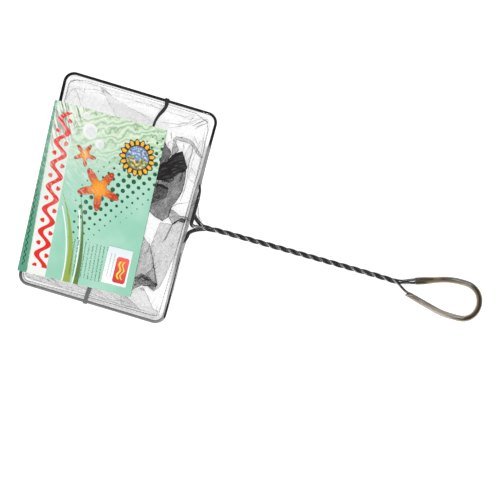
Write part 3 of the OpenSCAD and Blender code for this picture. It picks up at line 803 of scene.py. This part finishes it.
bpy.ops.object.mode_set(mode="OBJECT")
thick = card.modifiers.new("board", "SOLIDIFY")
thick.thickness, thick.offset = card_t * mm, 0
bpy.ops.object.modifier_apply(modifier=thick.name)
bpy.ops.object.shade_smooth_by_angle(angle=math.radians(50))

board = Paint("printed_board", Roughness=0.45, IOR=1.45, Specular_IOR_Level=0.3)
x, y, _ = board.place("UV")  # millimetres from the fold, and from the upper edge


def linear(r, g, b):
    """Linear colour of an sRGB one given in 0 to 255."""
    return tuple((c / 255 / 12.92) if c < 11 else ((c / 255 + 0.055) / 1.055) ** 2.4 for c in (r, g, b))


def disc(px, py, r, soft=0.5):
    """1 inside a round spot of the print, and 0 outside."""
    d = ((x - px) ** 2 + (y - py) ** 2) ** 0.5
    return 1 - d.ramp(r - soft, r + soft)


at_print = board.point(x, y)
cloud = board.noise(0.02, 3, at=at_print)
ink = board.mix(linear(148, 206, 181), linear(172, 217, 196), cloud.ramp(0.35, 0.65))
ink = board.mix(ink, linear(203, 222, 206), (1 - y.ramp(10, 130)) * (1 - x.ramp(60, 120)) * 0.6)
# Light water with ripples over the top
water = (1 - y.ramp(10, 85)) * x.ramp(10, 34)
ink = board.mix(ink, linear(206, 224, 190), water * 0.6)
ripple = ((x * 0.35 + y * 0.9 + board.noise(0.06, 3, at=at_print) * 30) * 0.9).sin()
ink = board.mix(ink, linear(232, 238, 216), ripple.ramp(0.3, 0.95) * water * 0.7)
ink = board.mix(ink, linear(118, 150, 104), (-ripple).ramp(0.6, 1.0) * water * 0.6)
# Reeds leaning over the upper corner
reed = board.noise(1, 2, at=board.point((x * 0.42 + y * 0.91) * 0.022, (x * 0.91 - y * 0.42) * 0.26 + 3))
reeds = (1 - (x + y * 0.35).ramp(26, 44)) * (1 - y.ramp(34, 78)) * x.ramp(-0.3, 0.6)
ink = board.mix(ink, linear(70, 80, 44), (1 - (reed - 0.44).abs().ramp(0.02, 0.06)) * reeds)
ink = board.mix(ink, linear(238, 244, 226), (1 - (reed - 0.57).abs().ramp(0.02, 0.06)) * reeds)
# Bubbles as a field of dots that fades out
s, t = (x * 0.78 + y * 0.63) / 8.6, (y * 0.78 - x * 0.63) / 8.6
dx, dy = s % 1 - 0.5, t % 1 - 0.5
dot_r = (1 - ((x - 84) * 0.7 + (y - 84) * 0.75).abs() / 42).most(0) * x.ramp(34, 52) * 0.34
dots = 1 - ((dx * dx + dy * dy) ** 0.5).ramp(dot_r - 0.03, dot_r + 0.03)
ink = board.mix(ink, linear(24, 92, 62), dots * (dot_r > 0.05))
# Two blades of sea grass
for base, reach, wide, shade in ((47, 34, 4.6, (150, 172, 76)), (58, 22, 3.2, (98, 128, 66))):
    bend = (y - card_length) * (-1 / 105)
    mid = base - bend * bend * reach + bend * 9
    blade = (1 - ((x - mid).abs() * (1 / wide) / (1 - bend).most(0.01)).ramp(0.85, 1.1)) * (bend < 1)
    ink = board.mix(ink, linear(*shade), blade)
    edge = (1 - ((x - mid + wide * 1.1).abs() / 0.9).ramp(0.6, 1.1)) * (bend < 0.8)
    ink = board.mix(ink, linear(240, 246, 240), edge)
# Pale band with a red wave beside the fold, stronger towards the lower edge
band = 1 - (x - 25 + y * 0.015).ramp(-0.4, 0.4)
ink = board.mix(ink, linear(236, 238, 232), band * y.ramp(-60, 170))
swing = (y * 0.242).sin()
red = 1 - ((x - 13.5 - swing * 5.8).abs() / 3.4).ramp(0.9, 1.05)
bead = 1 - (((x - 13.5 + swing * 6.2) ** 2 + (((y / 12.98) % 1 - 0.5) * 12.98) ** 2) ** 0.5).ramp(2.4, 2.8)
ink = board.mix(ink, linear(226, 38, 34), red.most(bead) * band * y.ramp(9, 10) * (1 - y.ramp(189, 190)))
# Starfish
for cx, cy, size, turn in ((66, 86, 25, 0.3), (43, 52, 13, 1.1)):
    a = board.node("ShaderNodeMath", {"operation": "ARCTAN2"}, {0: y - cy, 1: x - cx})
    d = ((x - cx) ** 2 + (y - cy) ** 2) ** 0.5
    reach = size * (0.34 + 0.66 * ((a * 5 + turn).sin() * 0.5 + 0.5) ** 1.6)
    body = board.mix(linear(246, 156, 34), linear(196, 52, 22), (d / size).ramp(0.1, 0.75))
    body = board.mix(body, linear(250, 214, 150), board.noise(0.5, 2, at=at_print).ramp(0.5, 0.7) * 0.4)
    ink = board.mix(ink, linear(110, 46, 30), 1 - (d - reach).ramp(0.2, 1.2))
    ink = board.mix(ink, body, 1 - (d - reach).ramp(-0.5, 0.5))
# White bubbles
for cx, cy, r in ((44, 24, 8.5), (58, 36, 5), (37, 8, 4)):
    ink = board.mix(ink, linear(240, 236, 238), disc(cx, cy, r))
    ink = board.mix(ink, linear(216, 222, 222), disc(cx + r * 0.2, cy + r * 0.15, r * 0.72, 1.5))
# Anemone: a ring of yellow tentacles round a blue and green disc
ax, ay = 104, 40
a = board.node("ShaderNodeMath", {"operation": "ARCTAN2"}, {0: y - ay, 1: x - ax})
d = ((x - ax) ** 2 + (y - ay) ** 2) ** 0.5
petal = (a * 17).sin() * 0.5 + 0.5
ink = board.mix(ink, linear(60, 46, 34), 1 - (d - 18.2 - petal * 3).ramp(0.3, 1.0))
ink = board.mix(ink, linear(242, 182, 48), (1 - (d - 17.4 - petal * 3).ramp(-0.4, 0.4)) * petal.ramp(0.2, 0.5))
ink = board.mix(ink, linear(78, 48, 34), disc(ax, ay, 14.6))
ink = board.mix(ink, linear(106, 160, 214), disc(ax, ay, 13.2))
sand = (y - ay - 1 - (x * 0.5).sin() * 2).ramp(-0.5, 0.5)
ink = board.mix(ink, linear(132, 148, 84), disc(ax, ay, 13.2) * sand)
speck = board.noise(0.35, 3, at=at_print)
ink = board.mix(ink, linear(236, 216, 170), disc(ax, ay, 12.6) * speck.ramp(0.52, 0.62))
ink = board.mix(ink, linear(130, 76, 46), disc(ax, ay, 12.6) * (1 - speck.ramp(0.38, 0.46)))
# Thin broken ripples in rows
row_x = (x - 47) / 4.4
line_d = ((row_x % 1) - 0.5 + (y * 1.7 + row_x.floor() * 2.1).sin() * 0.07).abs()
rows_area = x.ramp(46.5, 47) * (1 - x.ramp(90.5, 91)) * y.ramp(148, 149) * (1 - y.ramp(190, 191))
breaks = board.noise(0.9, 2, at=board.point(row_x.floor() * 7, y)).ramp(0.42, 0.5)
ink = board.mix(ink, linear(52, 110, 86), (1 - line_d.ramp(0.1, 0.2)) * rows_area * breaks * 0.75)
# Painted shade: the spine, which curves down round the bar away from the light, is coloured a darker
# green, together with the back panel; a thin printed wave runs along the spine. Then thin light streaks
# over the upper corner, and wear along the fold
spine = 1 - x.ramp(-0.3, 0.3)
ink = board.mix(ink, linear(92, 158, 130), spine)
ink = board.mix(ink, linear(28, 62, 48), spine * (1 - (x + 6.2 + (y * 0.9).sin() * 1.1).abs().ramp(0.5, 0.8))
    * y.ramp(92, 93) * (1 - y.ramp(191, 192)))
streak_noise = board.noise(1, 3, at=board.point((x * 0.8 + y * 0.6) * 0.035, (y * 0.8 - x * 0.6) * 0.5))
light_streaks = (1 - (streak_noise - 0.5).abs().ramp(0.008, 0.03)) * (1 - y.ramp(60, 150)) * (1 - x.ramp(40, 80))
ink = board.mix(ink, linear(240, 246, 240), light_streaks * 0.65)
wear = (1 - x.abs().ramp(0.2, 1.4)) * board.noise(0.4, 4, at=at_print).ramp(0.45, 0.6)
ink = board.mix(ink, linear(225, 238, 230), wear * 0.6)
board.set({"Base Color": ink, "Roughness": 0.42 + cloud * 0.12})
board.bump(board.noise(240, 3), 0.06, 0.1 * mm)
board.on(card)
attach(card, "root")
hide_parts("header_card")


# Size label
# White paper sticker near the card's free edge, with a red lozenge.
label = nodes["size_label"]
paper = Paint("white_sticker", Roughness=0.5)
x, y, _ = paper.place()
label_x, label_y, label_turn = 22.5, -77.5, math.radians(2.2)
c, s = math.cos(label_turn), math.sin(label_turn)
lx = (x - label_x) * c + (y - label_y) * s
ly = (y - label_y) * c - (x - label_x) * s
box_d = ((lx - 5.2).abs() - 4.4).most(0) ** 2 + ((ly + 3.5).abs() - 12.2).most(0) ** 2
lozenge = 1 - (box_d ** 0.5).ramp(2.8, 3.3)
fade = (ly / 20 + lx / 30).ramp(-0.9, 0.9)
ink = paper.mix(linear(250, 251, 252), linear(226, 236, 238), ly.ramp(-10, 22))
ink = paper.mix(ink, paper.mix(linear(206, 44, 44), linear(240, 96, 84), fade), lozenge)
sway = (ly * 0.5).sin() * 1.4
waves = 1 - ((lx - 3.2 + sway).abs() / 1.2).ramp(0.8, 1.1) + 1 - ((lx - 7.2 + sway).abs() / 0.9).ramp(0.8, 1.1)
ink = paper.mix(ink, linear(246, 214, 72), waves.least(1) * lozenge * (1 - (ly + 3.5).abs().ramp(10, 11)))
for column in (-9.6, -5.4):
    ticks = (1 - ((lx - column).abs() / 0.7).ramp(0.8, 1.1)) * ((ly / 1.9) % 1 - 0.5).abs().ramp(0.15, 0.3)
    ink = paper.mix(ink, linear(60, 66, 66), ticks * (1 - ly.abs().ramp(14, 14.5)) * 0.6)
paper.set({"Base Color": ink})
paper.bump(paper.noise(500, 3), 0.08, 0.05 * mm)
label.data.materials.clear()
label.data.materials.append(paper.material)


# Elastic band
# One woven black elastic, stretched round the hoop's upper and lower bars. It is thick where it is
# folded over a bar, and its upper run twists and slips under the card's front panel.
band_t, wrap_r = 1.1, 2.45
wrap_steps, band_step, band_sides = 12, 2.4, 16
up = Vector((0, 0, 1))
upper_bar = Vector((-181.9, 3.0, 0)).normalized()
lower_bar = Vector((-173.8, 2.5, 0)).normalized()
upper, lower = Vector((25.6, 124.78, hoop_z)), Vector((-2.6, -126.7, hoop_z))
upper_line = [(26.6, 120.8, 6.4), (26.4, 117, 6.3), (24.7, 112.6, 6.4), (22.1, 107.7, 6.4), (20.3, 103.1, 6.3),
    (19.1, 98.8, 6.3), (18.7, 94, 6.3), (18.4, 88, 6.3), (14, 40, 6.3), (6, -50, 6.3), (-1.2, -104, 6.3),
    (-1.8, -111.6, 6.35), (-2.4, -118.6, 6.35), (-2.4, -122.6, 6.4)]
upper_widths = [4.7, 3.6, 4.4, 3.8, 3.2, 2.9, 2.7, 2.7, 3.2, 3.2, 4.8, 5.2, 5.0, 4.8]


def wrap(centre, side, first, width):
    """Half a turn of the elastic round a bar, starting at an angle in degrees."""
    made = []
    for k in range(wrap_steps + 1):
        a = math.radians(first - 180 / wrap_steps * k)
        out = up.cross(side) * -math.cos(a) + up * math.sin(a)
        made.append((centre + out * wrap_r, out, side, width))
    return made


stations = []
for i, (p, width) in enumerate(zip(upper_line, upper_widths)):
    d = Vector(upper_line[min(i + 1, len(upper_line) - 1)]) - Vector(upper_line[max(i - 1, 0)])
    stations.append((Vector(p), up, Vector((-d.y, d.x, 0)).normalized(), width))
below = [(Vector((p.x, p.y, hoop_z - wrap_r)), -up, side, width * 0.8) for p, _, side, width in reversed(stations)]
stations += wrap(lower, -lower_bar, 90, 4.8) + below + wrap(upper, -upper_bar, -90, 5.2)
loop = []
for i, (p, out, side, w) in enumerate(stations):
    q, q_out, q_side, q_w = stations[(i + 1) % len(stations)]
    n = max(1, round((q - p).length / band_step))
    for k in range(n):
        t = k / n
        loop.append((p.lerp(q, t), out.lerp(q_out, t).normalized(), side.lerp(q_side, t).normalized(),
            w + (q_w - w) * t))
bpy.ops.object.select_all(action="DESELECT")
bpy.ops.mesh.primitive_torus_add(major_segments=len(loop), minor_segments=band_sides)
band = bpy.context.active_object
band.name = band.data.name = "elastic_band_woven"
for i, (p, out, side, w) in enumerate(loop):
    half = w / 2 + 0.14 * wave(i * 0.9, scale=1.6, seed=6)
    for k in range(band_sides):
        a = 2 * math.pi * k / band_sides
        c, s = math.cos(a), math.sin(a)
        band.data.vertices[i * band_sides + k].co = (p + side * half * math.copysign(abs(c) ** 0.5, c)
            + out * band_t / 2 * math.copysign(abs(s) ** 0.5, s)) * mm
bpy.ops.object.mode_set(mode="EDIT")
bpy.ops.mesh.select_all(action="SELECT")
bpy.ops.mesh.normals_make_consistent(inside=False)
bpy.ops.object.mode_set(mode="OBJECT")
bpy.ops.object.shade_smooth()
woven = Paint("woven_elastic", Roughness=0.7)
x, y, _ = woven.place()
ribs = (y * 4.2 + (x * 3.0).sin() * 1.2).sin()
# Painted sheen: the lower part of the band, towards the lower bar, is coloured a lighter grey, where light glances off
# its flat weave.
wear_and_sheen = 1 - y.ramp(-60, 40)
woven.set({"Base Color": woven.mix(woven.mix((0.006, 0.005, 0.005), (0.09, 0.1, 0.095), wear_and_sheen),
    woven.mix((0.018, 0.012, 0.011), (0.17, 0.18, 0.175), wear_and_sheen), ribs.ramp(-0.6, 0.9))})
woven.bump(ribs, 0.5, 0.15 * mm)
woven.on(band)
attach(band, "root")
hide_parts("elastic_band")
